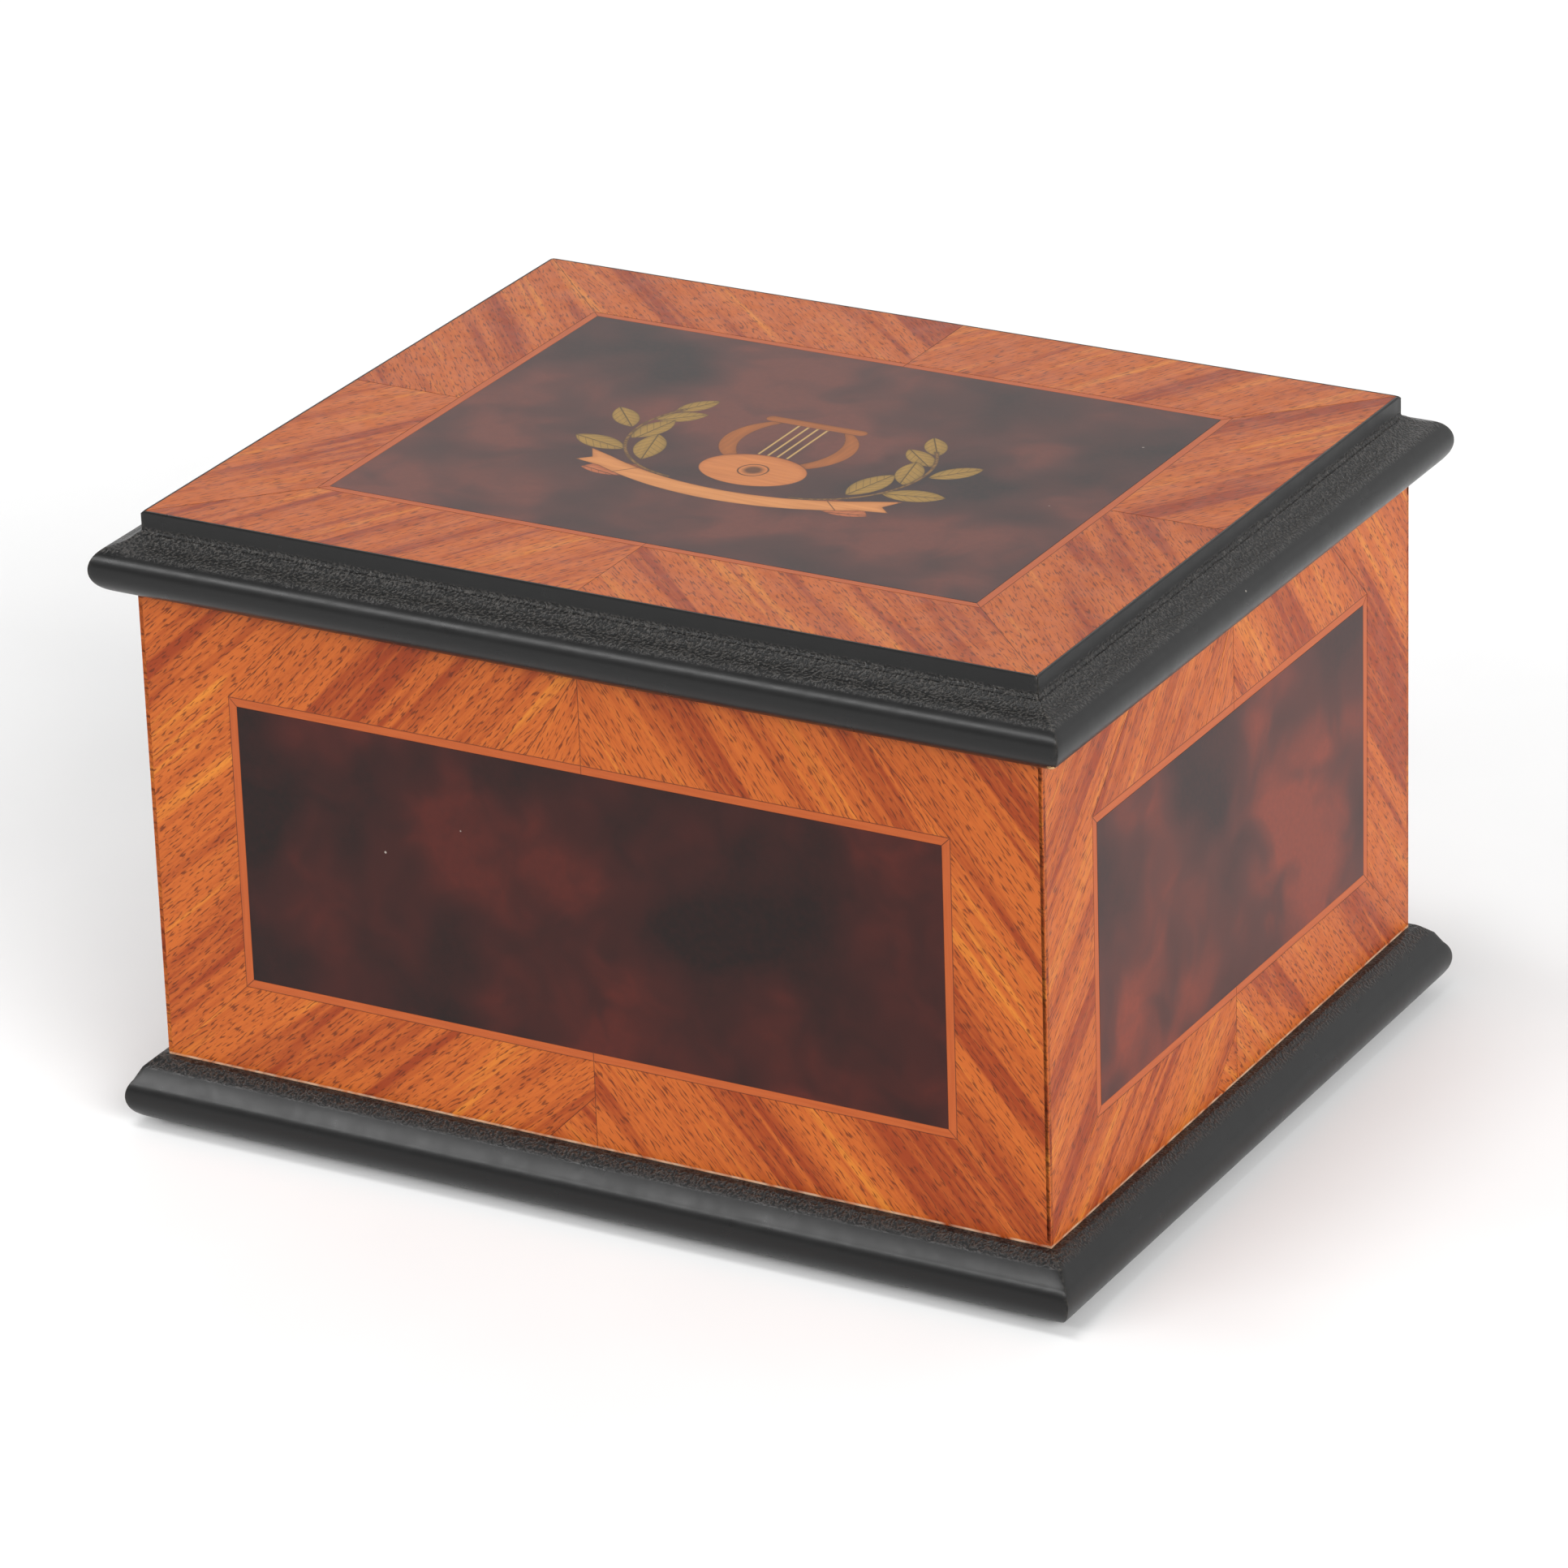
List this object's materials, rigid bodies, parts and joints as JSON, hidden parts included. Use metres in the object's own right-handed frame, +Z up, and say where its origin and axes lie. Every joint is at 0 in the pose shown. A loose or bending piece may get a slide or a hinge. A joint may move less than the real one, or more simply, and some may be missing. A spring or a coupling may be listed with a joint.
{
  "type": "music box",
  "caption": "Rectangular wooden music box with a hinged veneered lid, black mouldings, and a wind-up comb movement under a window beside a lined compartment.",
  "frame": {"origin": "centre of the case's footprint, on the surface it stands on (underside of the felt feet)", "axes": "+X along the long front towards the right, +Y to the back where the hinges are, +Z up"},
  "size_m": [0.14, 0.1146, 0.0868],
  "materials": {
    "black_lacquer": "satin black lacquer over profiled wood",
    "case_board": "plain wooden board, oiled",
    "crossband_veneer": "orange-brown veneer, satin lacquer",
    "burl_veneer": "near-black red-brown burl veneer, satin lacquer",
    "stringing_wood": "fine reddish stringing, satin lacquer",
    "inlay_wood": "pale marquetry woods, satin lacquer",
    "felt": "pressed felt",
    "velvet": "short burgundy velvet",
    "clear_window": "clear sheet",
    "brass": "plain brass",
    "steel": "bright steel",
    "cast_zinc": "dull cast zinc"
  },
  "bodies": {
    "case": {"base_moulding_front": "black_lacquer", "base_moulding_right": "black_lacquer", "base_moulding_back": "black_lacquer", "base_moulding_left": "black_lacquer", "wall_front": "case_board", "wall_right": "case_board", "wall_back": "case_board", "wall_left": "case_board", "bottom_panel": "case_board", "divider": "case_board", "window_ledges": "case_board", "crossband_front": "crossband_veneer", "crossband_right": "crossband_veneer", "crossband_back": "crossband_veneer", "crossband_left": "crossband_veneer", "burl_panel_front": "burl_veneer", "burl_panel_right": "burl_veneer", "burl_panel_back": "burl_veneer", "burl_panel_left": "burl_veneer", "wall_stringing": "stringing_wood", "felt_feet": "felt", "lining_floor": "velvet", "lining_sides": "velvet", "movement_window": "clear_window", "hinge_wall_leaves": "brass", "hinge_pins": "brass", "hinge_wall_screws": "brass", "compartment_screws": "brass", "governor_bracket": "brass", "plunger_guide": "brass", "comb": "steel", "comb_screws": "steel", "bedplate_screws": "steel", "click": "steel", "click_screw": "steel", "governor_screws": "steel", "plunger_spring": "steel", "bedplate": "cast_zinc"},
    "lid": {"lid_moulding_front": "black_lacquer", "lid_moulding_right": "black_lacquer", "lid_moulding_back": "black_lacquer", "lid_moulding_left": "black_lacquer", "lid_panel": "case_board", "lid_crossband": "crossband_veneer", "lid_stringing": "stringing_wood", "lid_burl_panel": "burl_veneer", "lid_inlay": "inlay_wood", "lid_lining": "velvet", "hinge_lid_leaves": "brass", "hinge_lid_screws": "brass"},
    "cylinder": {"cylinder": "brass"},
    "barrel": {"spring_barrel": "cast_zinc", "mainspring": "steel"},
    "winder": {"winding_arbor": "steel", "winding_key": "brass"},
    "governor_wheel": {"governor_wheel": "brass"},
    "fan": {"governor_worm": "steel", "air_brake_fan": "brass"},
    "plunger": {"stop_plunger": "steel"}
  },
  "joints": [
    {"name": "lid_hinge", "type": "hinge", "parent": "case", "child": "lid", "pos_m": [0, 0.05475, 0.0761], "axis": [-1, 0, 0], "range_deg": [0, 95]},
    {"name": "stop_plunger_slide", "type": "slide", "parent": "case", "child": "plunger", "axis": [0, 0, 1], "range_m": [0, 0.003], "deforming": ["plunger_spring"]},
    {"name": "cylinder_spin", "type": "hinge", "parent": "case", "child": "cylinder", "pos_m": [-0.029, 0, 0.031], "axis": [0, 1, 0], "continuous": true},
    {"name": "barrel_spin", "type": "hinge", "parent": "case", "child": "barrel", "pos_m": [-0.029, -0.0135, 0.0203], "axis": [0, 0, 1], "continuous": true},
    {"name": "governor_spin", "type": "hinge", "parent": "case", "child": "governor_wheel", "pos_m": [-0.0425, 0.0136, 0.031], "axis": [0, 1, 0], "continuous": true},
    {"name": "fan_spin", "type": "hinge", "parent": "case", "child": "fan", "pos_m": [-0.0495, 0.0136, 0.031], "axis": [0, 0, 1], "continuous": true},
    {"name": "winding_key_turn", "type": "hinge", "parent": "case", "child": "winder", "pos_m": [-0.029, -0.0135, 0.0135], "axis": [0, 0, 1], "continuous": true}
  ],
  "couplings": [
    {"joint": "stop_plunger_slide", "follows": "lid_hinge", "m_per_rad": 0.0018},
    {"joint": "barrel_spin", "follows": "cylinder_spin", "ratio": 0.33333},
    {"joint": "governor_spin", "follows": "cylinder_spin", "ratio": -4},
    {"joint": "fan_spin", "follows": "cylinder_spin", "ratio": 80}
  ]
}
